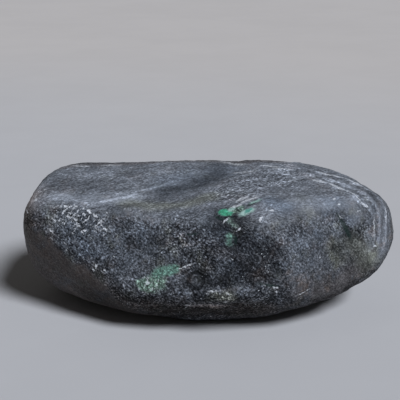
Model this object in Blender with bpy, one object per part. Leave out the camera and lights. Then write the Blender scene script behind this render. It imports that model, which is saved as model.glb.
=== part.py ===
"""Raw jade boulder: one river-worn stone, lying on the flat spot that it is worn to underneath.

Metres, +Z up. The origin is the centre of the stone's box, at the height of the surface it lies on.
+X runs along the stone to its tapered end, and -Y is its broad dark front.
"""

import math

import bmesh
import bpy
import numpy as np
from mathutils import Vector, noise

LENGTH = 0.250
WIDTH = 0.150
HEIGHT = 0.094
BASE_WEAR = 0.0050  # how much of the stone's lowest curve the flat spot takes away

HEART = np.array((0.0, 0.0, 0.053))  # the point that every worn face is measured from
BODY = np.array((0.134, 0.086, 0.060))  # half sizes of the blunt oval under the worn faces
BODY_BLUNTNESS = 3.4  # 2 is an ellipsoid, and more is squarer
EDGE_SHARPNESS = 16.0  # higher makes crisper edges between the worn faces
CELLS = (44, 26, 17)  # grid cells along the length, the width and the height
CELL_FAN = math.radians(36.0)  # half the angle that a row of cells spreads over: evens out their size

# The broad faces that rolling has worn on the stone: the way each one faces, in degrees round
# from +X and up from level, and its distance from the heart.
WORN_FACES = {
    "top": (272, 86, 0.0435),
    "top_back": (90, 70, 0.0565),
    "top_right_slope": (27, 58, 0.0845),
    "right_front_slope": (290, 40, 0.080),
    "tip": (6, 0, 0.130),
    "tip_upper": (14, 34, 0.1118),
    "tip_front": (304, 4, 0.091),
    "tip_back": (46, 14, 0.110),
    "tip_chin": (345, -38, 0.1050),
    "tip_underside": (322, -62, 0.0712),
    "front_left": (256, 12, 0.081),
    "front_underside": (270, -53, 0.0658),
    "left_front_facet": (229, -30, 0.090),
    "left_end": (182, -8, 0.1265),
    "left_upper": (173, 20, 0.1255),
    "left_shoulder": (160, 46, 0.1110),
    "left_back_facet": (138, -4, 0.113),
    "left_chin": (203, -55, 0.0915),
    "left_underside": (233, -63, 0.0702),
    "back_slope": (86, 50, 0.069),
    "back": (90, 22, 0.085),
    "back_underside": (92, -42, 0.072),
    "base": (0, -90, 0.0590),
}

# Hollows and swells, each along a line between two points near the surface: half width and
# depth, which is negative for a swell.
RELIEF = {
    "top_left_dip": ((-0.092, -0.048, 0.080), (-0.030, -0.060, 0.083), 0.039, 0.0090),
    "top_valley": ((-0.038, -0.038, 0.083), (0.018, 0.024, 0.091), 0.015, 0.0050),
    "front_hollow": ((0.014, -0.070, 0.062), (0.030, -0.072, 0.048), 0.020, 0.0034),
    "front_ledge": ((-0.003, -0.073, 0.034), (0.028, -0.073, 0.035), 0.007, -0.0030),
    "under_ledge": ((-0.005, -0.070, 0.024), (0.030, -0.070, 0.024), 0.007, 0.0022),
    "round_pit": ((-0.010, -0.070, 0.038), (-0.008, -0.070, 0.039), 0.008, 0.0036),
    "right_rim": ((0.066, -0.044, 0.086), (0.106, -0.028, 0.081), 0.011, -0.0022),
    "right_crevice": ((0.083, -0.046, 0.074), (0.092, -0.044, 0.063), 0.006, 0.0030),
    "right_dip": ((0.074, -0.054, 0.052), (0.092, -0.044, 0.050), 0.014, 0.0018),
    "tip_groove": ((0.095, 0.020, 0.084), (0.122, -0.010, 0.064), 0.007, 0.0014),
    "back_dip": ((0.020, 0.075, 0.050), (0.064, 0.066, 0.040), 0.022, 0.0040),
    "back_rill": ((-0.070, 0.060, 0.078), (-0.020, 0.075, 0.034), 0.009, 0.0026),
    "top_crown": ((-0.005, 0.034, 0.092), (0.034, 0.034, 0.092), 0.026, -0.0022),
    "back_swell": ((-0.020, 0.072, 0.066), (0.030, 0.070, 0.070), 0.016, -0.0020),
}

LUMPS = (
    # size of the lumps, how far they stand out, and the seed that shifts them
    (0.046, 0.0024, 11.0),
    (0.019, 0.0011, 47.0),
)

STONE_COLOUR = (0.065, 0.070, 0.080, 1.0)
STONE_ROUGHNESS = 0.62


def direction(azimuth, elevation):
    """Unit vector from degrees round from +X and up from level."""
    around, up = math.radians(azimuth), math.radians(elevation)
    level = math.cos(up)
    return np.array((level * math.cos(around), level * math.sin(around), math.sin(up)))


def reach(rays):
    """How far the surface of the worn faces, rounded into each other, is along each ray."""
    blunt_oval = (np.abs(rays / BODY) ** BODY_BLUNTNESS).sum(axis=1)
    closeness = blunt_oval ** (EDGE_SHARPNESS / BODY_BLUNTNESS)
    for azimuth, elevation, distance in WORN_FACES.values():
        facing = np.clip(rays @ direction(azimuth, elevation), 0.0, None)
        closeness += (facing / distance) ** EDGE_SHARPNESS
    return closeness ** (-1.0 / EDGE_SHARPNESS)


def distance_to_line(points, start, end):
    """Distance of each point from the straight line between two points."""
    start, along = np.array(start), np.subtract(end, start)
    share = np.clip((points - start) @ along / (along @ along), 0.0, 1.0)
    return np.linalg.norm(points - start - share[:, None] * along, axis=1)


def hollows(points):
    """How far inwards the hollows take each point, less how far the swells raise it."""
    depth = np.zeros(len(points))
    for start, end, half_width, deepest in RELIEF.values():
        away = distance_to_line(points, start, end) / half_width
        depth += deepest * np.exp(-(away**2))
    return depth


def lumps(points):
    """How far the small unevenness raises each point."""
    raised = np.zeros(len(points))
    for size, height, seed in LUMPS:
        places = points / size + seed
        raised += height * np.array([noise.noise(Vector(place)) for place in places])
    return raised


def block(cells):
    """A box mesh of even cells, from -1 to 1 each way, as the clay the stone is shaped from."""
    clay = bmesh.new()
    bmesh.ops.create_cube(clay, size=2.0)
    for axis, count in enumerate(cells):
        across = [
            edge
            for edge in clay.edges
            if abs(edge.verts[0].co[axis] - edge.verts[1].co[axis]) > 1.0
        ]
        bmesh.ops.subdivide_edges(clay, edges=across, cuts=count - 1, use_grid_fill=True)
    return clay


def to_size(points):
    """Scales the stone to its overall size and centres it, sunk by the part that wears away."""
    low, high = points.min(axis=0), points.max(axis=0)
    full = np.array((LENGTH, WIDTH, HEIGHT + BASE_WEAR))
    points = (points - (low + high) / 2.0) * full / (high - low)
    points[:, 2] += full[2] / 2.0 - BASE_WEAR
    return points


def stone_surface(block_points):
    """The place on the stone's surface of each point of the block."""
    half = np.array((LENGTH, WIDTH, HEIGHT)) / 2.0
    rays = np.tan(block_points * CELL_FAN) * half
    rays /= np.linalg.norm(rays, axis=1)[:, None]
    points = to_size(HEART + rays * reach(rays)[:, None])
    points = to_size(points + rays * (lumps(points) - hollows(points))[:, None])
    points[:, 2] = np.maximum(points[:, 2], 0.0)  # the flat spot it lies on
    return points


def rind_material():
    material = bpy.data.materials.new("jade_rind")
    material.use_nodes = True
    shader = material.node_tree.nodes["Principled BSDF"]
    shader.inputs["Base Color"].default_value = STONE_COLOUR
    shader.inputs["Roughness"].default_value = STONE_ROUGHNESS
    shader.inputs["Metallic"].default_value = 0.0
    return material


def make_boulder():
    clay = block(CELLS)
    surface = stone_surface(np.array([vert.co for vert in clay.verts]))
    for vert, point in zip(clay.verts, surface):
        vert.co = point
    bmesh.ops.recalc_face_normals(clay, faces=clay.faces)
    mesh = bpy.data.meshes.new("boulder")
    clay.to_mesh(mesh)
    clay.free()
    mesh.shade_smooth()
    mesh.materials.append(rind_material())
    boulder = bpy.data.objects.new("boulder", mesh)
    bpy.context.scene.collection.objects.link(boulder)


def main():
    for old in list(bpy.data.objects):
        bpy.data.objects.remove(old)
    make_boulder()


main()
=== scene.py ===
import math

import bmesh
import bpy
import numpy as np
from mathutils import Matrix, Vector, noise
from mathutils.bvhtree import BVHTree


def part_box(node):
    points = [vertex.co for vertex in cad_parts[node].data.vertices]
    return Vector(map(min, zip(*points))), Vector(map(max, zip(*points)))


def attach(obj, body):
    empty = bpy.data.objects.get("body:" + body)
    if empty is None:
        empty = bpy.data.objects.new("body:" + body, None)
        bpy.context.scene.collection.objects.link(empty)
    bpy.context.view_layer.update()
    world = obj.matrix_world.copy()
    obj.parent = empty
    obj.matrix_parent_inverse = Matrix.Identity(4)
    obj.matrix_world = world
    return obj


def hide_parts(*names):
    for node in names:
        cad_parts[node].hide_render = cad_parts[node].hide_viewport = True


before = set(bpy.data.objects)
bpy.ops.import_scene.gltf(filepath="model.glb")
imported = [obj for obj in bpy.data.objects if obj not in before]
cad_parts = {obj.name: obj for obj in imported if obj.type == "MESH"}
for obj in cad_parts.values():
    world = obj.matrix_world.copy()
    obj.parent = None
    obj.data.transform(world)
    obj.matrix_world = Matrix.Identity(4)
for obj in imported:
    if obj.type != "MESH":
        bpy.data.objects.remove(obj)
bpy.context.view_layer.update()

# the camera stands level with the middle of the stone's dark front and looks a little down on it
cameraSetup = {
    "lens": 85.0,  # mm
    "aim": (-0.0055, 0.0, 0.0748),
    "distance": 0.638,
    "downward": 17.0,  # degrees
}


def addCamera():
    down = math.radians(cameraSetup["downward"])
    back = Vector((0.0, -math.cos(down), math.sin(down)))
    data = bpy.data.cameras.new("stoneCamera")
    data.lens = cameraSetup["lens"]
    holder = bpy.data.objects.new("stoneCamera", data)
    holder.location = Vector(cameraSetup["aim"]) + back * cameraSetup["distance"]
    holder.rotation_euler = (math.pi / 2.0 - down, 0.0, 0.0)
    bpy.context.scene.collection.objects.link(holder)
    bpy.context.scene.camera = holder


# helpers for node trees: a value given to them is a plain number or another node's output

def feed(tree, socket, value):
    if isinstance(value, bpy.types.NodeSocket):
        tree.links.new(value, socket)
    else:
        socket.default_value = value


def addNode(tree, kind, inputs=None, **settings):
    node = tree.nodes.new(kind)
    for name, value in settings.items():
        setattr(node, name, value)
    for name, value in (inputs or {}).items():
        feed(tree, node.inputs[name], value)
    return node


def combine(tree, operation, first, second):
    node = addNode(tree, "ShaderNodeMath", {0: first, 1: second}, operation=operation)
    return node.outputs[0]


def combineVectors(tree, operation, first, second, third=(0.0, 0.0, 0.0)):
    inputs = {0: first, 1: second, 2: third}
    return addNode(tree, "ShaderNodeVectorMath", inputs, operation=operation).outputs[0]


def scaled(tree, vector, scale):
    inputs = {0: vector, "Scale": scale}
    return addNode(tree, "ShaderNodeVectorMath", inputs, operation="SCALE").outputs[0]


def step(tree, value, low, high, toLow=0.0, toHigh=1.0):
    # goes smoothly from toLow to toHigh while the value goes from low to high
    inputs = {"Value": value, "From Min": low, "From Max": high, "To Min": toLow, "To Max": toHigh}
    return addNode(tree, "ShaderNodeMapRange", inputs, interpolation_type="SMOOTHSTEP").outputs[0]


def layOver(tree, share, under, over):
    # sockets 6 and 7 are the Mix node's two colours
    inputs = {0: share, 6: under, 7: over}
    return addNode(tree, "ShaderNodeMix", inputs, data_type="RGBA").outputs[2]


def laidOut(tree, place, size, turn, centre=(0.0, 0.0, 0.0)):
    # coordinates in a turned frame at this centre, whose unit is this size along each of its axes
    inputs = {"Vector": place, "Location": centre, "Rotation": turn, "Scale": size}
    return addNode(tree, "ShaderNodeMapping", inputs, vector_type="TEXTURE").outputs[0]


def grains(tree, place, size, detail, stretch=1.0, turn=(0.0, 0.0, 0.0)):
    # noise round 0.5 with features of about this size in metres, drawn out along its turned first axis
    laid = laidOut(tree, place, (stretch, 1.0, 1.0), turn)
    inputs = {"Vector": laid, "Scale": 1.0 / size, "Detail": detail, "Roughness": 0.72}
    return addNode(tree, "ShaderNodeTexNoise", inputs).outputs[0]


def painted(tree, name):
    # a value that the mesh carries at its points
    return addNode(tree, "ShaderNodeAttribute", attribute_name=name).outputs["Fac"]


def newMaterial(name):
    material = bpy.data.materials.new(name)
    material.use_nodes = True
    return material, material.node_tree, material.node_tree.nodes["Principled BSDF"]


studio = {
    "floorSize": 14.0,
    "floorNear": (0.575, 0.577, 0.590, 1.0),
    "floorFar": (0.625, 0.597, 0.578, 1.0),
    "floorChange": (0.1, 1.3),  # metres behind the stone over which the floor goes from one to the other; this is painted light, the floor bluer near the stone and warmer and paler far behind it
    "floorAslant": 0.35,  # how much that change also follows X
    "floorClouds": (0.30, 0.03),  # metres across the floor's faint clouds, and how much they darken it
    "floorRoughness": 0.85,
    "floorSheen": 0.2,
    "skyColour": (1.0, 0.97, 0.94, 1.0),
    "skyStrength": 0.07,
    "windowAzimuth": 303.0,  # degrees round from +X
    "windowHeight": 43.5,  # degrees up
    "windowSpread": 15.0,  # degrees across, which softens the shadow
    "windowPower": 3.20,
    "windowColour": (0.94, 0.975, 1.05),
}


def addFloor():
    material, tree, shader = newMaterial("paleFloor")
    place = addNode(tree, "ShaderNodeTexCoord").outputs["Object"]
    sides = addNode(tree, "ShaderNodeSeparateXYZ", {"Vector": place}).outputs
    behind = combine(tree, "ADD", sides["Y"], combine(tree, "MULTIPLY", sides["X"], studio["floorAslant"]))
    # painted light: the floor's colour changes with distance behind the stone, bluer near it and warmer and
    # paler far off
    farther = step(tree, behind, *studio["floorChange"])
    colour = layOver(tree, farther, studio["floorNear"], studio["floorFar"])
    size, depth = studio["floorClouds"]
    clouds = step(tree, grains(tree, place, size, 4.0), 0.35, 0.65, 1.0, 1.0 - depth)
    feed(tree, shader.inputs["Base Color"], scaled(tree, colour, clouds))
    shader.inputs["Roughness"].default_value = studio["floorRoughness"]
    shader.inputs["Specular IOR Level"].default_value = studio["floorSheen"]
    bpy.ops.mesh.primitive_plane_add(size=studio["floorSize"])
    floor = bpy.context.object
    floor.name = "studioFloor"
    floor.data.materials.append(material)


def addLight():
    world = bpy.data.worlds.new("studioSky")
    world.use_nodes = True
    sky = world.node_tree.nodes["Background"]
    sky.inputs["Color"].default_value = studio["skyColour"]
    sky.inputs["Strength"].default_value = studio["skyStrength"]
    bpy.context.scene.world = world
    light = bpy.data.lights.new("studioWindow", "SUN")
    light.angle = math.radians(studio["windowSpread"])
    light.energy = studio["windowPower"]
    light.color = studio["windowColour"]
    holder = bpy.data.objects.new("studioWindow", light)
    tilt = math.radians(90.0 - studio["windowHeight"])
    holder.rotation_euler = (0.0, tilt, math.radians(studio["windowAzimuth"]))
    bpy.context.scene.collection.objects.link(holder)
    bpy.context.scene.view_settings.view_transform = "Standard"


addCamera()
addFloor()
addLight()
print("camera, floor and light are set")

# all that one might change about the stone: the places and half widths of its marks are in millimetres
stone = {
    # the stone's visible skin: even quads laid on the CAD stone, with its facets rounded away
    "skin": {
        "cells": (198, 119, 75),  # quads along the length, the width and the height
        "fan": 36.0,  # degrees that the rows of quads spread to each side, which evens out their size
        "rounding": 2,  # times that the CAD stone is subdivided under the skin
        "flattest": 60.0,  # degrees that two triangles may be bent by and still join in a quad
        "joined": 0.00002,  # points closer than this, in metres, are made one
    },
    "topside": (0.40, 0.85),  # how far up a place faces where the top begins, and where it is all top
    "cutOff": {"patches": 6.0, "vein": 12.0, "pit": 12.0},  # distances past which nothing changes
    # how far the edges of the regions stray
    "wander": {"size": 15.0, "reach": 2.4, "seeds": (11.0, 23.0, 37.0)},
    # how pale the rind is: 0 is nearly black and 1 is the bruised, dusty grey of the top; it also carries
    # painted light and shade, the top partly lightened and the low sides darkened as the light falls
    # each touch has a value, a half width, the softness of its edge and a route
    "bloom": {
        "byFacing": ((-0.8, -0.3, 0.2, 0.6, 0.9), (-0.15, 0.02, 0.36, 0.64, 0.82)),  # by how far it faces up: dust on the top together with painted light there, and painted shade on the sides that face down
        "drift": ((30.0, 0.10, 5.0), (13.0, 0.10, 9.0)),  # size, strength and seed
        "touches": [
            (0.68, 9, 6, [(-100, -9, 89), (-78, -11, 88), (-57, -13, 88)]),
            (0.64, 6, 4, [(-60, -43, 82), (-37, -46, 81), (-12, -52, 81)]),
            (0.97, 5, 4, [(-94, -31, 86), (-76, -31, 85), (-60, -33, 85), (-46, -25, 85)]),
            (1.00, 6, 5, [(-114, -25, 82), (-114, -8, 84), (-111, 2, 87)]),
            (0.56, 6, 5, [(-90, 30, 91), (-45, 36, 92), (0, 44, 92), (46, 36, 92)]),
            # painted shade: the next two touches darken the top along its shallow diagonal valley, whose
            # slope faces away from the light
            (0.58, 11, 6, [(-34, -20, 86), (-15, -8, 87), (-2, 9, 89), (14, 29, 91)]),
            (0.34, 5, 2, [(-30, -18, 86), (-17, -12, 86), (-4, 0, 88), (8, 14, 90)]),
            (0.80, 10, 8, [(15, -28, 89), (31, -7, 91), (52, 1, 91)]),
            (0.88, 6, 5, [(21, 23, 91), (37, 11, 93)]),
            (0.96, 8, 6, [(78, -2, 91), (89, -19, 89), (100, -30, 87)]),
            (0.90, 9, 5, [(56, -45, 86), (73, -43, 85)]),
            (0.24, 14, 6, [(-88, -47, 59), (-62, -54, 59), (-37, -58, 60), (-15, -63, 65)]),
            (0.52, 14, 9, [(-70, 58, 70), (0, 72, 62), (50, 62, 66)]),
            (0.02, 11, 8, [(-40, 72, 32), (-5, 75, 42), (36, 73, 30)]),
            (0.28, 8, 5, [(-95, -42, 76), (-71, -47, 73), (-56, -50, 72)]),
            (-0.20, 13, 7, [(13, -61, 75), (21, -67, 65), (34, -69, 54), (10, -72, 46)]),
            (-0.12, 8, 5, [(-6, -66, 60), (4, -70, 51)]),
            (0.43, 12, 8, [(56, -57, 73), (70, -54, 62), (74, -51, 49), (57, -63, 45)]),
            (0.73, 12, 8, [(111, -30, 74), (115, -27, 59), (110, -31, 50)]),
            (0.74, 6, 5, [(88, -39, 83), (93, -39, 76)]),
            (0.55, 5, 4, [(71, -48, 79), (80, -44, 74)]),
            (0.10, 3.5, 2.5, [(54, -57, 75), (60, -57, 72)]),
            (0.12, 3, 2, [(79, -48, 60), (84, -45, 56)]),
            (0.08, 2.6, 1.6, [(87, -41, 68), (91, -40, 61)]),
            (0.45, 4, 3, [(108, -24, 84), (113, -22, 80)]),
            # painted shade: the touches below with values under 0 darken the low front and the lower right
            # edge near the floor, where the underside lies in shade
            (-0.22, 11, 7, [(-66, -50, 22), (-43, -58, 22), (-25, -55, 16)]),
            (-0.08, 9, 6, [(28, -71, 33), (44, -68, 35), (34, -58, 21)]),
            (-0.60, 13, 7, [(-30, -54, 17), (0, -60, 19), (22, -58, 17)]),
            (0.28, 9, 6, [(60, -61, 35), (81, -48, 33), (98, -38, 38)]),
            (-0.35, 9, 7, [(44, -52, 10), (66, -46, 12), (88, -34, 22)]),
            (0.36, 2.8, 2.4, [(-1, -73, 38), (12, -74, 39), (24, -73, 40)]),
            (0.45, 4, 3, [(-10, -65, 26), (8, -63, 24)]),
            (0.62, 3.5, 3, [(6, -72, 35), (13, -73, 34)]),
        ],
    },
    # how strongly the grains of the rind stand out from each other
    "contrast": {
        "byFacing": ((-0.6, 0.0, 0.5, 0.9), (1.40, 1.15, 0.85, 0.60)),
        "touches": [
            (0.35, 9, 5, [(51, -46, 86), (73, -43, 85)]),
            (0.42, 11, 6, [(-32, -18, 86), (-15, -8, 87), (-2, 9, 89), (14, 29, 91)]),
            (1.00, 14, 8, [(15, -28, 89), (31, -7, 91), (52, 1, 91)]),
            (0.40, 5, 4, [(-94, -31, 86), (-76, -31, 85), (-60, -33, 85), (-46, -25, 85)]),
            (0.30, 7, 4, [(86, -40, 83), (94, -38, 78)]),
            (0.60, 7, 4, [(-62, -42, 82), (-37, -45, 81), (-24, -46, 82)]),
            (0.72, 16, 8, [(66, -54, 60), (60, -60, 45), (84, -45, 56)]),
            (1.40, 12, 8, [(-20, -62, 72), (-5, -64, 62)]),
            (0.65, 12, 8, [(74, -51, 49), (87, -44, 53)]),
            (0.36, 12, 8, [(111, -30, 74), (115, -27, 59), (110, -31, 50)]),
            (0.50, 9, 6, [(60, -61, 33), (81, -48, 31), (98, -38, 36)]),
            (0.55, 6, 3, [(-8, -69, 44)]),
        ],
    },
    # how thickly white crystals are strewn in the rind
    "crystals": {
        "byFacing": ((-0.6, 0.0, 0.5, 0.9), (0.16, 0.17, 0.12, 0.05)),
        "touches": [
            (0.95, 6, 3, [(-92, -43, 79), (-82, -44, 77)]),
            (0.55, 7, 5, [(-95, -41, 76), (-82, -45, 77), (-68, -47, 74)]),
            (0.28, 3, 3, [(-104, -38, 74), (-99, -43, 62), (-92, -46, 56), (-71, -54, 47), (-57, -60, 44)]),
            (0.30, 7, 5, [(-56, -54, 22), (-36, -60, 24)]),
            (0.55, 4, 3, [(-42, -65, 39), (-34, -67, 41)]),
            (0.00, 6, 3, [(-8, -69, 44)]),
            (0.40, 4, 3, [(-118, -20, 76), (-115, -26, 80), (-110, -14, 86)]),
            (0.30, 3, 3, [(-1, -72, 38), (41, -69, 39)]),
            (0.30, 6, 5, [(-13, -65, 26), (10, -68, 29), (34, -66, 30)]),
            (0.28, 5, 4, [(32, -64, 66), (34, -69, 50)]),
            (0.02, 11, 6, [(-32, -18, 86), (-15, -8, 87), (-2, 9, 89), (14, 29, 91)]),
            (0.05, 9, 5, [(51, -46, 86), (73, -43, 85)]),
            (0.04, 14, 8, [(81, -48, 33), (98, -38, 38), (113, -27, 55)]),
        ],
    },
    # the left end has lost its grainy rind up to this height, by degrees round from +X
    "bareEnd": {
        "rim": (
            (100, 115, 130, 150, 175, 200, 204, 208, 214, 220, 226, 232),
            (-9, 6, 30, 52, 63, 66, 57, 49, 45, 37, 18, -9),
        ),
        "edge": 3.4,
        "bloom": 0.23,
        "contrast": 0.27,
        "crystals": 0.35,  # share of the crystals that are left there
        "umber": 0.75,
        # painted shade: this touch darkens the bare end low on the front, near the floor
        "touches": [(-0.18, 11, 10, [(-76, -42, 18), (-50, -50, 16), (-20, -54, 12)])],
    },
    # faint tints: a strength for each touch
    "tints": {
        "umber": [
            (1.0, 26, 14, [(-126, -20, 60), (-122, 10, 40)]),
            (0.8, 14, 9, [(-80, -43, 34), (-50, -52, 18), (-10, -58, 18), (30, -56, 18)]),
            (0.45, 10, 8, [(60, -61, 30), (81, -48, 30), (98, -38, 38)]),
            (0.5, 3.5, 4, [(2, -66, 66), (20, -69, 58), (34, -68, 48)]),
            (0.35, 5, 5, [(-100, 25, 90), (-60, 30, 92), (0, 40, 92), (50, 32, 93)]),
        ],
        "blue": [
            (0.9, 7, 5, [(39, -45, 87), (46, -50, 86)]),
            (0.5, 12, 8, [(4, -62, 76), (22, -66, 68), (16, -70, 50)]),
            (0.5, 12, 8, [(-70, -50, 64), (-40, -57, 66)]),
            (0.7, 9, 7, [(78, -42, 82), (84, -41, 76)]),
            (0.6, 12, 8, [(-25, -10, 87), (10, 20, 91)]),
            (0.5, 10, 8, [(50, -60, 72), (60, -56, 66)]),
            (0.5, 14, 8, [(-85, -47, 66), (-55, -55, 62)]),
        ],
        "olive": [
            (0.8, 8, 6, [(92, -40, 59), (100, -37, 50), (105, -35, 43)]),
            (0.6, 6, 4, [(84, -45, 50), (78, -48, 60)]),
            (0.9, 4, 3, [(5, -72, 35), (14, -73, 34)]),
            (0.7, 6, 5, [(0, -32, 86), (-20, -38, 84), (-50, -38, 84)]),
        ],
    },
    # patches: a half width and a route for each
    "patches": {
        "mint": [
            (5.0, [(-40, -66, 41), (-35, -67, 41), (-30, -68, 41)]),
            (3.4, [(15, -53, 84), (20, -52, 85)]),
            (2.0, [(12, -59, 79), (17, -62, 76)]),
            (4.6, [(44, 66, 58), (34, 70, 55), (27, 72, 50)]),
            (2.6, [(-58, 67, 50), (-52, 69, 44)]),
        ],
        "teal": [
            (2.8, [(12.5, -65, 71), (12.5, -66, 68)]),
            (3.4, [(-33, -66, 48), (-27, -66, 49), (-21, -66, 51)]),
            (2.4, [(-28, 73, 60), (-24, 74, 56)]),
        ],
        "jade": [
            (3.2, [(8.5, -54.5, 84), (11.5, -55, 83.5)]),
        ],
    },
    # a long milky vein over the top: how thick its threads are along it
    "vein": {
        "route": [
            (-104, -28, 85), (-94, -25, 86), (-86, -33, 85), (-78, -37, 84), (-70, -37, 84), (-63, -34, 85),
            (-53, -28, 85), (-47, -23, 86), (-40, -18, 87), (-30, -10, 88), (-19, -1, 89), (-9, 11, 91),
            (5, 26, 91),
        ],
        "touches": [
            (1.1, 4, 5, [(-100, -27, 86), (-94, -25, 87)]),
            (1.0, 3, 4, [(-86, -33, 85), (-78, -37, 84)]),
            (1.0, 5, 6, [(-66, -36, 85), (-53, -28, 85)]),
            (1.0, 7, 6, [(-45, -21, 86), (-33, -11, 88)]),
            (0.8, 6, 6, [(-24, -4, 90), (-9, 11, 91)]),
        ],
        "tones": (
            (-9.0, 0.0), (-6.5, 0.0), (-5.2, 0.42), (-4.2, 0.05), (-2.6, 0.05), (-1.3, 0.35), (0.0, 0.72),
            (1.3, 0.40), (2.2, 0.12), (3.2, 0.50), (4.4, 0.05), (6.0, 0.30), (8.0, 0.0),
        ),
    },
    # layers wrapped round the right shoulder like an onion's, between an inner and an outer line
    "layers": {
        "fading": (9.0, 16.0),  # distance from their middle line where they begin to fade, and end
        "alongX": (52.0, 82.0),  # where they begin, and where they show in full
        "toFront": (-34.0, -14.0),  # the same towards the front
        "upward": (44.0, 56.0),  # the same by height
        "narrowest": 2.0,  # least distance between the two lines that the layers are divided over
        "range": (-2.0, 3.0),  # how far past the inner and the outer line the layers go on
        "inner": [
            (60, 6, 92), (73, -4, 91), (80, -13, 90), (86, -23, 89), (92, -32, 88), (97, -35, 84),
            (103, -34, 79), (106, -33, 74), (106, -33, 69), (107, -33, 59), (104, -35, 48),
        ],
        "outer": [
            (52, 24, 92), (70, 15, 92), (82, 5, 91), (92, -1, 90), (99, -8, 88), (104, -16, 87),
            (109, -22, 85), (113, -25, 80), (115, -26, 74), (116, -26, 66), (116, -26, 55), (112, -28, 46),
        ],
        "tones": (
            (-0.30, 0.5), (-0.10, 0.42), (0.0, 0.95), (0.12, 0.30), (0.22, 0.18), (0.36, 0.75), (0.50, 0.70),
            (0.62, 0.25), (0.80, 0.35), (0.94, 0.90), (1.06, 0.85), (1.20, 0.22), (1.45, 0.55), (1.7, 0.2),
            (2.0, 0.6),
        ),
    },
    "roundPit": {
        "place": [(-8, -69, 44)],
        "tones": (
            (0.0, 0.80), (1.1, 0.42), (1.9, 0.25), (2.9, 0.60), (3.9, 0.15), (5.2, 0.05), (6.4, 0.52),
            (7.6, 0.30), (10.0, 0.5),
        ),
    },
    # small marks laid over each other in this order, each with a start, an end and a half width
    "strokes": {
        "deep": [
            ((24, -49, 86), (31, -43, 88), 1.6),
            ((17, -52, 85), (21, -57, 82), 0.9),
            ((16, -65, 71), (16, -66.5, 67), 0.9),
            ((81, -43, 79), (85, -42, 73), 1.0),
            ((84, -42, 74), (91, -40, 62), 1.7),
            ((30, -72, 44), (44, -69, 40), 0.6),
            ((30, 72, 54), (40, 69, 52), 0.9),
            ((-10, 75, 56), (4, 75, 44), 0.7),
            ((-14, -60, 71), (-6, -60, 72), 0.6),
            ((4, -57, 82), (8, -58.5, 79), 1.0),
            ((12, -57, 82), (15, -58, 81), 0.9),
        ],
        "sage": [
            ((20.5, -56.5, 83), (27, -53, 85.5), 2.3),
            ((13, -53.5, 85), (15.5, -51.5, 86), 1.7),
            ((26, -46, 88), (33, -41, 89), 1.1),
        ],
        "sea": [
            ((22.5, -55.5, 84), (26, -53.5, 85.5), 1.2),
        ],
        "white": [
            ((18, -42, 87), (24, -37, 88), 1.5),
            ((20, -46, 87), (31, -37, 89), 1.3),
            ((14, -50, 86), (19, -48, 86), 1.5),
            ((-19, -65.5, 50), (-10, -67, 54), 0.4),
            ((7, 38, 92), (18, 35, 92), 0.9),
            ((12, 34, 92), (27, 31, 92), 1.1),
            ((19, 30, 92), (25, 28, 92), 0.8),
            ((16, 13, 90), (26, 12, 91), 0.8),
            ((22, 10, 91), (33, 10, 92), 0.8),
            ((36, 20, 94), (48, 18, 93), 0.9),
            ((43, 16, 93), (58, 14, 92), 0.9),
            ((-95, 24, 93), (-86, 24, 93), 0.8),
            ((-91, 21, 93), (-82, 21, 93), 1.0),
            ((-75, 23, 93), (-65, 28, 92), 0.9),
            ((-69, 23, 93), (-60, 27, 92), 1.1),
            ((70, -5, 91), (76, -9, 90), 1.6),
            ((80, -13, 90), (87, -24, 89), 1.5),
            ((88, -25, 89), (96, -34, 85), 0.7),
            ((97, -35, 84), (102, -34, 80), 0.5),
            ((76, 10, 91), (90, 1, 90), 1.6),
            ((92, -1, 90), (101, -11, 88), 1.3),
            ((113, -25, 79), (115.5, -26, 66), 0.45),
            ((106, -33, 73), (107, -33, 62), 0.35),
            ((54, -64, 31), (64, -59, 34), 0.25),
            ((-84, 52, 66), (-62, 66, 52), 0.7),
            ((-70, 60, 66), (-40, 71, 56), 0.5),
            ((52, 62, 62), (70, 54, 48), 0.6),
            ((8, 74, 50), (22, 73, 40), 0.5),
            ((106, -34, 54), (109, -32, 53), 0.45),
            ((9, -61, 79), (12, -59, 81), 0.45),
            ((17, -64, 74), (19, -63, 76), 0.45),
            ((31, -60, 80), (32.5, -58.5, 82), 0.6),
            ((38, -53, 84), (40, -53, 84), 0.8),
            ((82, -42, 77), (83.5, -42, 75.5), 0.6),
            ((82, -41, 85), (82.5, -41, 85), 0.6),
            ((95, -38, 79), (95.5, -38, 79), 0.5),
            ((79, -38, 87), (79.5, -38, 87), 0.7),
            ((40, -69, 39), (43, -68, 39), 0.5),
            ((-1, -72, 38), (6, -73, 39), 0.35),
            ((9, -71, 31), (11, -71, 31), 0.5),
            ((-14, -65, 26), (-12, -65, 26), 0.5),
            ((-116, -29, 77), (-115, -31, 75), 0.6),
            ((-112, -25, 83), (-111, -28, 82), 0.8),
            ((-88, -45, 76), (-84, -43, 79), 0.5),
            ((-93, -42, 78), (-91, -41, 81), 0.6),
            ((-79, -46, 75), (-75, -45, 77), 0.5),
            ((-71, -48, 72), (-67, -46, 75), 0.4),
            ((-101, -40, 69), (-99, -42, 66), 0.4),
            ((-72, -54, 47), (-70, -54, 49), 0.5),
        ],
    },
    # the fine relief of the skin, in millimetres
    "relief": {
        "lumps": ((8.5, 0.45, 3.0), (4.0, 0.30, 7.0)),  # size, height and seed
        "smoothness": 0.75,  # how much of it the bare end has lost
        "restingEdge": 4.0,  # height above the floor over which it fades out
        "pit": 1.2,
        "crack": (0.5, 0.3, 1.8),  # depth, and the half widths from its line where it is full and where gone
        "layers": 0.5,
    },
    # the rind's colours, grain and gloss
    "rind": {
        "darkest": 0.035,  # what bloom 0 reflects
        "range": 7.1,  # how many times as much bloom 1 reflects
        "grain": (0.0011, 2.0, 4.0),  # size in metres, detail and strength
        "clump": (0.0060, 4.0, 2.0),
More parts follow.
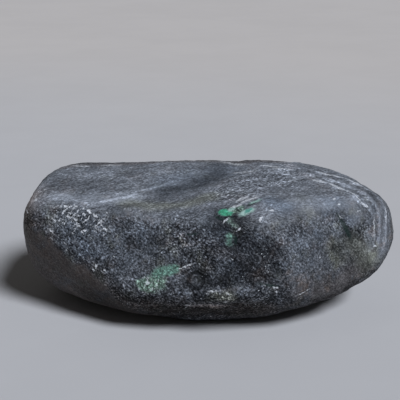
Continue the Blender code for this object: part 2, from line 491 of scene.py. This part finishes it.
        "drawnOut": {"grain": (1.3, 1.7), "clump": (2.4, 3.4)},  # of the front and of the top
        "run": ((0.0, 0.6, 0.0), (0.0, 0.0, 0.35)),  # the way they are drawn out there, in radians
        "layers": (0.9, 0.75),  # how far the clumps shift the layers, and how much these change the bloom
        "pit": (5.5, 1.3),  # the same for the rings of the pit
        "vein": 9.0,  # how far the clumps shift the vein's threads
        "veinBreaks": (0.3, 0.6, 0.15, 0.55),  # clump values, and how much of the vein shows at each
        "tintClouds": {
            "size": 0.012,
            "detail": 3.0,
            "drawnOut": 1.4,
            "edge": (0.50, 0.72, 0.0, 0.45),  # noise values, and how much of the tint shows at each
            "reach": 1.35,  # times that they show on a steep side; the top has 1.0 less
        },
        "base": (0.91, 1.00, 1.15, 1.0),
        "umber": (1.19, 0.97, 0.88, 1.0),
        "blue": (0.85, 1.01, 1.25, 1.0),
        "olive": (0.99, 1.05, 0.92, 1.0),
        "white": (0.64, 0.67, 0.71, 1.0),
        "deep": (0.012, 0.024, 0.022, 1.0),
        "sage": (0.34, 0.50, 0.46, 1.0),
        "sea": (0.06, 0.26, 0.21, 1.0),
        "ragged": (700.0, 2.0, 0.0024),  # scale and detail of the noise that frays the marks, and its reach
        "brokenBy": (0.35, 0.6, 0.9),  # grain values over which a mark comes to show, and how much at most
        "broken": {"deep": 0.75, "sage": 0.5, "sea": 0.8, "white": 0.25},  # higher lets the marks show whole
        "roughness": (0.3, 0.7, 0.74, 0.50),  # grain values, and the roughness at each
        "sheen": (-0.2, 0.7, 0.04, 0.32),  # bloom values, and the specular level at each
        "bump": (0.6, 0.0005),  # strength, and distance in metres
        "bumpLeft": 1.1,  # times that the bump shows on the rind; the bare end has 1.0 less
    },
    # softness and raggedness of the patches' edges in millimetres, and how much of them shows
    "coats": {
        "mint": {
            "colour": (0.64, 1.01, 0.80, 1.0),
            "bloom": 0.76,
            "grain": 4.4,
            "soft": 2.0,
            "ragged": 13.0,
            "share": 0.9,
        },
        "teal": {
            "colour": (0.50, 1.06, 0.83, 1.0),
            "bloom": 0.76,
            "grain": 3.0,
            "soft": 1.4,
            "ragged": 7.0,
            "share": 0.9,
        },
        "jade": {
            "colour": (0.20, 1.12, 0.68, 1.0),
            "bloom": 1.02,
            "grain": 1.5,
            "soft": 0.8,
            "ragged": 5.0,
            "share": 1.0,
        },
    },
    # the white crystals strewn in the rind
    "flakes": {
        "layers": ((0.0015, -0.5), (0.0025, 0.6)),  # size in metres, and the turn of each layer in radians
        "aslant": 0.4,
        "shape": (2.0, 0.8, 0.7),
        "reach": (0.0, 0.4, 0.15, 0.56),  # how far a flake's cell is chosen, and how much of it fills at each
        "edge": (0.0, 0.2),
        "paleness": (0.0, 1.0, 0.30, 1.0),  # from the faintest flake to the whitest, by chance
    },
    # the ovals that the small marks are made of
    "ovals": {
        "depth": 0.004,  # metres that a mark reaches into the skin
        "edge": (0.6, 1.25),  # from the full mark to none, where 1 is the oval's own outline
        "far": 9.0,  # where nothing is marked
    },
}


def blockQuads(cells):
    # whole-numbered points on the six sides of a block, and the quads between them
    corners, quads, count = [], [], 0
    for axis in range(3):
        u, v = (axis + 1) % 3, (axis + 2) % 3
        for side in (0, cells[axis]):
            grid = np.zeros((cells[u] + 1, cells[v] + 1, 3), int)
            grid[..., axis] = side
            grid[..., u] = np.arange(cells[u] + 1)[:, None]
            grid[..., v] = np.arange(cells[v] + 1)
            number = np.arange(grid[..., 0].size).reshape(grid.shape[:2]) + count
            around = [number[:-1, :-1], number[1:, :-1], number[1:, 1:], number[:-1, 1:]]
            if side == 0:
                around.reverse()
            quads.append(np.stack(around, -1).reshape(-1, 4))
            corners.append(grid.reshape(-1, 3))
            count += number.size
    points, merged = np.unique(np.concatenate(corners), axis=0, return_inverse=True)
    return points, merged.ravel()[np.concatenate(quads)]


def roundedStone():
    # the CAD stone with its facets rounded, as a tree for finding places on it
    clay = bmesh.new()
    clay.from_mesh(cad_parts["boulder"].data)
    bmesh.ops.remove_doubles(clay, verts=clay.verts, dist=stone["skin"]["joined"])
    wide = math.radians(stone["skin"]["flattest"])
    bmesh.ops.join_triangles(clay, faces=clay.faces, angle_face_threshold=wide, angle_shape_threshold=wide)
    mesh = bpy.data.meshes.new("roundedStone")
    clay.to_mesh(mesh)
    clay.free()
    holder = bpy.data.objects.new("roundedStone", mesh)
    bpy.context.scene.collection.objects.link(holder)
    rounding = holder.modifiers.new("rounding", "SUBSURF")
    rounding.levels = stone["skin"]["rounding"]
    tree = BVHTree.FromObject(holder, bpy.context.evaluated_depsgraph_get())
    bpy.data.objects.remove(holder)
    return tree


def laySkin(surface):
    low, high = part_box("boulder")
    heart, half = (low + high) / 2.0, (high - low) / 2.0
    points, quads = blockQuads(stone["skin"]["cells"])
    share = 2.0 * points / np.array(stone["skin"]["cells"]) - 1.0
    rays = np.tan(share * math.radians(stone["skin"]["fan"])) * np.array(half)
    reached = [surface.ray_cast(heart, Vector(ray))[0] for ray in rays]
    mesh = bpy.data.meshes.new("boulderSkin")
    mesh.from_pydata(reached, [], quads.tolist())
    mesh.shade_smooth()
    return mesh


def readPoints(mesh):
    points = np.empty(len(mesh.vertices) * 3)
    mesh.vertices.foreach_get("co", points)
    normals = np.empty(len(mesh.vertices) * 3)
    mesh.vertices.foreach_get("normal", normals)
    return points.reshape(-1, 3) * 1000.0, normals.reshape(-1, 3)


mesh = laySkin(roundedStone())
points, normals = readPoints(mesh)  # the points in millimetres, which the marks are placed in too
upward = normals[:, 2]
around = np.degrees(np.arctan2(points[:, 1], points[:, 0])) % 360.0
print("skin laid on the stone:", len(points), "points")


def unevenness(size, detail, seed):
    # noise from about -1 to 1 over the stone, with lumps of this size
    places = (points / size + seed).tolist()
    fading, shrinking = 0.9, 2.1  # how much lower and how many times smaller each finer lump is
    return np.array([noise.fractal(place, fading, shrinking, detail) for place in places])


def smooth(value, low, high):
    share = np.clip((value - low) / (high - low), 0.0, 1.0)
    return share * share * (3.0 - 2.0 * share)


def awayFrom(places, route, sided=False):
    # the distance of each place from a route, less than 0 on its left side if the sides are told apart
    stops = np.array(route, float)
    if len(stops) == 1:
        return np.linalg.norm(places - stops[0], axis=1)
    nearest = np.full(len(places), np.inf)
    side = np.ones(len(places))
    for start, end in zip(stops[:-1], stops[1:]):
        along = end - start
        share = np.clip((places - start) @ along / (along @ along), 0.0, 1.0)
        off = places - start - share[:, None] * along
        gap = np.linalg.norm(off, axis=1)
        if sided:
            left = np.einsum("ij,ij->i", np.cross(normals, along), off) > 0.0
            side = np.where(gap < nearest, np.where(left, -1.0, 1.0), side)
        nearest = np.minimum(nearest, gap)
    return nearest * side


def touchedUp(values, touches, places):
    # each touch draws the values round its route towards its own value
    for value, half, soft, route in touches:
        share = 1.0 - smooth(awayFrom(places, route), half - soft, half + soft)
        values = values + (value - values) * share
    return values


def depthInside(patches, places):
    # how deep each place lies inside the nearest patch: less than 0 outside it
    depth = np.full(len(places), -9.0)
    for half, route in patches:
        depth = np.maximum(depth, half - awayFrom(places, route))
    return depth


strays = [unevenness(stone["wander"]["size"], 3, seed) for seed in stone["wander"]["seeds"]]
strayed = points + stone["wander"]["reach"] * np.stack(strays, 1)


def byRamp(values, tones):
    return np.interp(values, *zip(*tones))


# painted light and shade as well as the rind's own tone: paler where the skin faces up, darker where it faces
# down
pale = np.interp(upward, *stone["bloom"]["byFacing"])
for size, strength, seed in stone["bloom"]["drift"]:
    pale = pale + strength * unevenness(size, 2, seed)
pale = touchedUp(pale, stone["bloom"]["touches"], strayed)
crisp = touchedUp(np.interp(upward, *stone["contrast"]["byFacing"]), stone["contrast"]["touches"], strayed)
strewn = touchedUp(np.interp(upward, *stone["crystals"]["byFacing"]), stone["crystals"]["touches"], strayed)
rimHeight = np.interp(around, *stone["bareEnd"]["rim"], period=360.0)
bare = smooth(rimHeight - strayed[:, 2], -stone["bareEnd"]["edge"], stone["bareEnd"]["edge"])
worn = touchedUp(np.full(len(points), stone["bareEnd"]["bloom"]), stone["bareEnd"]["touches"], strayed)
pale = pale + (worn - pale) * bare
crisp = crisp + (stone["bareEnd"]["contrast"] - crisp) * bare
strewn = strewn * (1.0 + (stone["bareEnd"]["crystals"] - 1.0) * bare)

fields = {"bloom": pale, "contrast": crisp, "crystals": strewn, "bare": bare}
fields["topside"] = smooth(upward, *stone["topside"])
cutOff = stone["cutOff"]
for name, touches in stone["tints"].items():
    fields[name] = touchedUp(np.zeros(len(points)), touches, strayed)
for name, spots in stone["patches"].items():
    fields[name] = np.clip(depthInside(spots, points), -cutOff["patches"], cutOff["patches"])
fields["umber"] = np.maximum(fields["umber"], stone["bareEnd"]["umber"] * bare)
veinLine = awayFrom(points, stone["vein"]["route"], sided=True)
fields["vein"] = np.clip(veinLine, -cutOff["vein"], cutOff["vein"])
fields["veined"] = touchedUp(np.zeros(len(points)), stone["vein"]["touches"], points)
wrap = stone["layers"]
inner = awayFrom(points, wrap["inner"], sided=True)
outer = awayFrom(points, wrap["outer"], sided=True)
fields["layer"] = np.clip(inner / np.minimum(inner - outer, -wrap["narrowest"]), *wrap["range"])
layered = 1.0 - smooth(np.abs(inner + outer) / 2.0, *wrap["fading"])
layered = layered * smooth(points[:, 0], *wrap["alongX"])
towardsFront = smooth(-points[:, 1], *wrap["toFront"]) * smooth(points[:, 2], *wrap["upward"])
fields["layered"] = layered * towardsFront
fields["pit"] = np.clip(awayFrom(points, stone["roundPit"]["place"]), 0.0, cutOff["pit"])
print("marks laid out:", ", ".join(fields))


def shapeRelief():
    relief = stone["relief"]
    raised = np.zeros(len(points))
    for size, height, seed in relief["lumps"]:
        raised += height * unevenness(size, 2, seed)
    raised *= 1.0 - relief["smoothness"] * bare
    raised += relief["pit"] * (byRamp(fields["pit"], stone["roundPit"]["tones"]) - 0.5)
    depth, full, gone = relief["crack"]
    for start, end, half in stone["strokes"]["deep"]:
        raised -= depth * (1.0 - smooth(awayFrom(points, [start, end]), full * half, gone * half))
    raised += relief["layers"] * fields["layered"] * (byRamp(fields["layer"], stone["layers"]["tones"]) - 0.5)
    return raised * smooth(points[:, 2], 0.0, relief["restingEdge"])


shaped = points + normals * shapeRelief()[:, None]
mesh.vertices.foreach_set("co", shaped.ravel() / 1000.0)
for name, values in fields.items():
    mesh.attributes.new(name, "FLOAT", "POINT").data.foreach_set("value", values)
mesh.update()
print("relief shaped")


def rampOf(tree, value, tones):
    # a value read off a row of tones, whose places may lie outside 0 to 1
    low, high = tones[0][0], tones[-1][0]
    inputs = {"Value": value, "From Min": low, "From Max": high}
    share = addNode(tree, "ShaderNodeMapRange", inputs).outputs[0]
    node = addNode(tree, "ShaderNodeValToRGB", {"Fac": share})
    ramp = node.color_ramp
    while len(ramp.elements) < len(tones):
        ramp.elements.new(0.5)
    for element, (place, tone) in zip(ramp.elements, tones):
        element.position = (place - low) / (high - low)
        element.color = (tone, tone, tone, 1.0)
    return node.outputs["Color"]


def rindMaterial():
    rind = stone["rind"]
    material, tree, shader = newMaterial("jade_rind")
    place = addNode(tree, "ShaderNodeTexCoord").outputs["Object"]

    def about(value, strength):
        # a noise made to swing round 0, so that it can be added to the bloom
        centred = combine(tree, "SUBTRACT", value, 0.5)
        return combine(tree, "MULTIPLY", centred, strength)

    def blend(share, first, second):
        return addNode(tree, "ShaderNodeMix", {0: share, 2: first, 3: second}).outputs[0]

    def drawnOut(name):
        # the grain runs down to the right over the front, and along the stone over the top
        size, detail, strength = rind[name]
        sides = zip(rind["drawnOut"][name], rind["run"])
        value = blend(topside, *[grains(tree, place, size, detail, stretch, turn) for stretch, turn in sides])
        return value, about(value, strength)

    topside = painted(tree, "topside")
    crispness = painted(tree, "contrast")
    grain, grainSwing = drawnOut("grain")
    clumps, clumpSwing = drawnOut("clump")
    swing = combine(tree, "ADD", grainSwing, clumpSwing)
    level = combine(tree, "ADD", painted(tree, "bloom"), combine(tree, "MULTIPLY", swing, crispness))
    shift, strength = rind["layers"]
    layer = combine(tree, "ADD", painted(tree, "layer"), about(clumps, shift))
    layerTone = about(rampOf(tree, layer, stone["layers"]["tones"]), strength)
    level = combine(tree, "ADD", level, combine(tree, "MULTIPLY", layerTone, painted(tree, "layered")))
    shift, strength = rind["pit"]
    ring = combine(tree, "ADD", painted(tree, "pit"), about(clumps, shift))
    level = combine(tree, "ADD", level, about(rampOf(tree, ring, stone["roundPit"]["tones"]), strength))
    thread = combine(tree, "ADD", painted(tree, "vein"), about(clumps, rind["vein"]))
    thread = combine(tree, "MULTIPLY", rampOf(tree, thread, stone["vein"]["tones"]), painted(tree, "veined"))
    thread = combine(tree, "MULTIPLY", thread, step(tree, clumps, *rind["veinBreaks"]))
    level = combine(tree, "ADD", level, thread)
    tint = rind["base"]
    clouds = rind["tintClouds"]
    for number, name in enumerate(stone["tints"]):
        turn = (1.0 + number, 0.7 * number, 2.0)  # so that no two tints lie alike
        cloud = grains(tree, place, clouds["size"], clouds["detail"], clouds["drawnOut"], turn)
        fading = combine(tree, "SUBTRACT", clouds["reach"], topside)
        cloud = combine(tree, "MULTIPLY", step(tree, cloud, *clouds["edge"]), fading)
        share = combine(tree, "MINIMUM", combine(tree, "ADD", cloud, painted(tree, name)), 1.0)
        tint = layOver(tree, share, tint, rind[name])
    for name, coat in stone["coats"].items():
        depth = combine(tree, "ADD", painted(tree, name), about(clumps, coat["ragged"]))
        share = step(tree, depth, -coat["soft"], coat["soft"], 0.0, coat["share"])
        tint = layOver(tree, share, tint, coat["colour"])
        level = blend(share, level, combine(tree, "ADD", about(grain, coat["grain"]), coat["bloom"]))
    shade = combine(tree, "MULTIPLY", combine(tree, "POWER", rind["range"], level), rind["darkest"])
    colour = scaled(tree, tint, shade)
    scale, detail, reach = rind["ragged"]
    inputs = {"Vector": place, "Scale": scale, "Detail": detail}
    bent = addNode(tree, "ShaderNodeTexNoise", inputs).outputs["Color"]
    bent = combineVectors(tree, "ADD", bent, (-0.5, -0.5, -0.5))
    bent = combineVectors(tree, "MULTIPLY_ADD", bent, [reach] * 3, place)
    flecks = strewing(tree, bent)
    colour = layOver(tree, flecks, colour, rind["white"])
    low, high, most = rind["brokenBy"]
    for name, marks in stone["strokes"].items():
        broken = step(tree, grain, low, high, rind["broken"][name], most)
        share = combine(tree, "MULTIPLY", stroked(tree, bent, marks), broken)
        colour = layOver(tree, share, colour, rind[name])
    feed(tree, shader.inputs["Base Color"], colour)
    feed(tree, shader.inputs["Roughness"], step(tree, grain, *rind["roughness"]))
    feed(tree, shader.inputs["Specular IOR Level"], step(tree, level, *rind["sheen"]))
    height = combine(tree, "ADD", grain, flecks)
    left = combine(tree, "SUBTRACT", rind["bumpLeft"], painted(tree, "bare"))
    strength, distance = rind["bump"]
    inputs = {"Height": combine(tree, "MULTIPLY", height, left), "Strength": strength, "Distance": distance}
    bump = addNode(tree, "ShaderNodeBump", inputs)
    feed(tree, shader.inputs["Normal"], bump.outputs[0])
    return material


def strewing(tree, place):
    # white crystals: a share of the cells of two Voronoi textures
    flakes = stone["flakes"]
    flecks = 0.0
    for size, turn in flakes["layers"]:
        laid = laidOut(tree, place, flakes["shape"], (0.0, turn, flakes["aslant"] - turn))
        cells = addNode(tree, "ShaderNodeTexVoronoi", {"Vector": laid, "Scale": 1.0 / size})
        chances = addNode(tree, "ShaderNodeSeparateColor", {"Color": cells.outputs["Color"]}).outputs
        chosen = combine(tree, "SUBTRACT", painted(tree, "crystals"), chances[0])
        inside = combine(tree, "SUBTRACT", step(tree, chosen, *flakes["reach"]), cells.outputs["Distance"])
        paleness = step(tree, chances[1], *flakes["paleness"])
        fleck = combine(tree, "MULTIPLY", step(tree, inside, *flakes["edge"]), paleness)
        flecks = combine(tree, "MAXIMUM", flecks, fleck)
    return flecks


def stroked(tree, place, marks):
    # 1 inside any of the marks, which are long ovals lying flat on the skin, and 0 away from them
    ovals = stone["ovals"]
    nearest = ovals["far"]
    for start, end, half in marks:
        spots = [np.argmin(np.linalg.norm(points - spot, axis=1)) for spot in (start, end)]
        start, end = (Vector(points[spot]) for spot in spots)
        along = end - start if end != start else Vector((1.0, 0.0, 0.0))
        out = Vector(normals[spots].sum(axis=0)).cross(along).normalized()
        axes = Matrix((along.normalized(), out, along.normalized().cross(out))).transposed()
        size = ((along.length / 2.0 + half) / 1000.0, half / 1000.0, ovals["depth"])
        laid = laidOut(tree, place, size, axes.to_euler(), (start + end) / 2000.0)
        away = addNode(tree, "ShaderNodeVectorMath", {0: laid}, operation="LENGTH").outputs["Value"]
        nearest = combine(tree, "MINIMUM", nearest, away)
    return combine(tree, "SUBTRACT", 1.0, step(tree, nearest, *ovals["edge"]))


boulder = bpy.data.objects.new("jadeBoulder", mesh)
bpy.context.scene.collection.objects.link(boulder)
mesh.materials.append(rindMaterial())
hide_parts("boulder")
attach(boulder, "root")
print("boulder finished")
